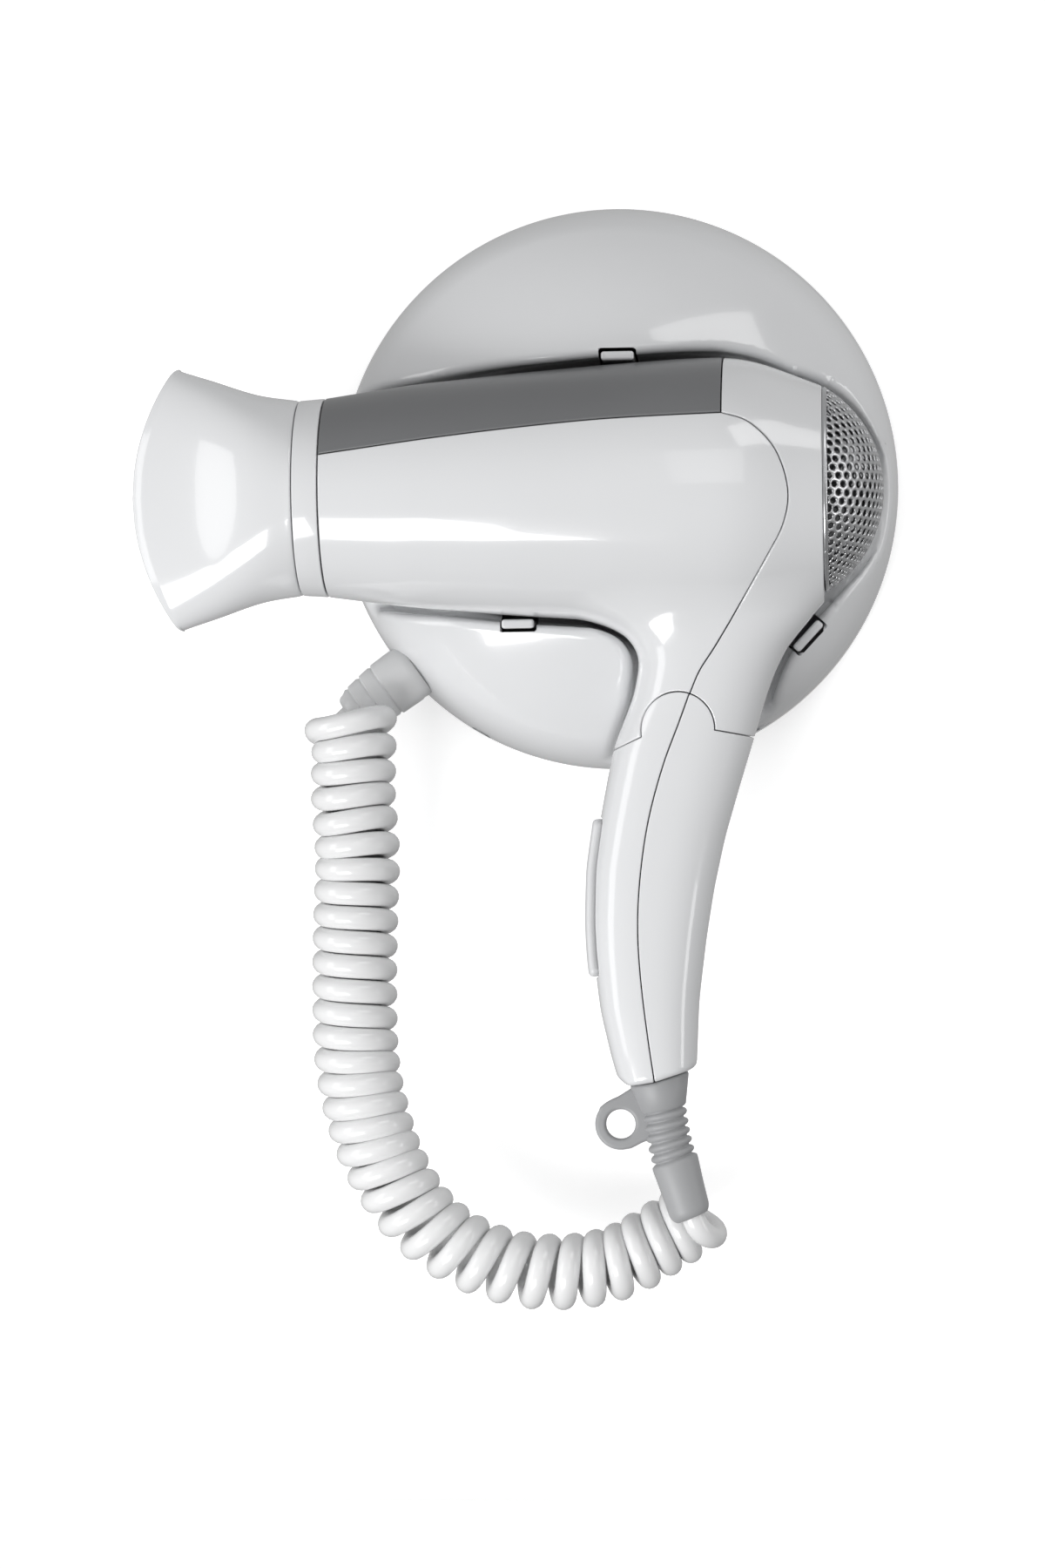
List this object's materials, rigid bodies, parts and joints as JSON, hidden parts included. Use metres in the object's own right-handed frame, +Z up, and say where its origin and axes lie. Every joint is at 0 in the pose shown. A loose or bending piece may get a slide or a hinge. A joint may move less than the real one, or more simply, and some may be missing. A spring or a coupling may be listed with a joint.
{
  "type": "wall-mounted hair dryer",
  "caption": "Hotel-style hair dryer parked in a round domed wall holder, with a flared concentrator nozzle, press paddle on the handle and a curly cord.",
  "frame": {"origin": "centre of the back plate's flat back face, which rests on the wall", "axes": "+Y into the wall, +Z up, +X along the barrel from the nozzle to the inlet grille"},
  "size_m": [0.2205, 0.0862, 0.3247],
  "materials": {
    "white_plastic": "smooth gloss",
    "dark_grey_plastic": "satin",
    "mid_grey_rubber": "matt",
    "mid_grey_plastic": "satin",
    "light_grey_plastic": "satin",
    "grille_steel": "satin metal",
    "steel": "plated",
    "cord_white": "smooth gloss",
    "black_plastic": "matt",
    "mica": "laminated mica",
    "resistance_wire": "drawn wire",
    "blue_insulation": "smooth",
    "brown_insulation": "smooth"
  },
  "bodies": {
    "holder": {"back_plate": "light_grey_plastic", "holder_cover": "white_plastic", "cover_screw_left": "steel", "cover_screw_right": "steel", "terminal_block": "black_plastic", "parking_switch": "black_plastic", "holder_cord_clamp": "mid_grey_plastic", "holder_inner_lead": "cord_white", "holder_strain_relief": "white_plastic", "cord_lead_holder": "cord_white", "cord_coil": "cord_white", "cord_lead_dryer": "cord_white"},
    "tab_top": {"snap_tab_top": "white_plastic"},
    "tab_lower": {"snap_tab_lower": "white_plastic"},
    "tab_rear": {"snap_tab_rear": "white_plastic"},
    "plunger": {"cradle_plunger": "mid_grey_plastic"},
    "dryer": {"barrel_shell": "white_plastic", "top_trim": "dark_grey_plastic", "rear_shell": "white_plastic", "handle_front": "white_plastic", "handle_rear": "white_plastic", "front_ring": "white_plastic", "rear_grille": "grille_steel", "handle_strain_relief": "mid_grey_rubber", "handle_screw": "steel", "outlet_grille": "black_plastic", "heater_sleeve": "mica", "mica_board_upright": "mica", "mica_board_level": "mica", "heater_coil_1": "resistance_wire", "heater_coil_2": "resistance_wire", "heater_coil_3": "resistance_wire", "heater_coil_4": "resistance_wire", "heater_coil_5": "resistance_wire", "thermostat": "steel", "thermal_fuse": "steel", "fan_housing": "black_plastic", "motor": "steel", "inlet_filter": "mid_grey_plastic", "switch_body": "black_plastic", "suppressor": "blue_insulation", "diode_board": "mica", "cord_clamp": "mid_grey_plastic", "inner_cord": "cord_white", "switch_wire": "brown_insulation", "mains_wire": "blue_insulation", "heater_wire": "brown_insulation"},
    "nozzle": {"nozzle": "white_plastic"},
    "fan": {"motor_shaft": "steel", "fan_impeller": "black_plastic"},
    "paddle": {"switch_paddle": "light_grey_plastic"}
  },
  "joints": [
    {"name": "dryer_lift", "type": "slide", "parent": "holder", "child": "dryer", "axis": [0, -1, 0], "range_m": [0, 0.1]},
    {"name": "nozzle_turn", "type": "hinge", "parent": "dryer", "child": "nozzle", "pos_m": [-0.0898, -0.048, -0.0035], "axis": [1, 0, 0], "continuous": true},
    {"name": "fan_spin", "type": "hinge", "parent": "dryer", "child": "fan", "pos_m": [0.04, -0.048, -0.0035], "axis": [1, 0, 0], "continuous": true},
    {"name": "paddle_press", "type": "slide", "parent": "dryer", "child": "paddle", "axis": [1, 0, 0], "range_m": [0, 0.002], "stiffness_N_per_m": 900, "springref_m": -0.001},
    {"name": "plunger_press", "type": "slide", "parent": "holder", "child": "plunger", "axis": [0, 1, 0], "range_m": [0, 0.003], "stiffness_N_per_m": 300, "springref_m": -0.001},
    {"name": "tab_top_flex", "type": "hinge", "parent": "holder", "child": "tab_top", "pos_m": [0.00265, -0.022, 0.0355], "axis": [-1, 0, 0], "range_deg": [0, 0.9], "stiffness_Nm_per_rad": 4},
    {"name": "tab_lower_flex", "type": "hinge", "parent": "holder", "child": "tab_lower", "pos_m": [-0.02735, -0.022, -0.0405], "axis": [1, 0, 0], "range_deg": [0, 0.9], "stiffness_Nm_per_rad": 4},
    {"name": "tab_rear_flex", "type": "hinge", "parent": "holder", "child": "tab_rear", "pos_m": [0.0561, -0.022, -0.045], "axis": [0.6842, 0, 0.7293], "range_deg": [0, 1.4], "stiffness_Nm_per_rad": 4}
  ]
}
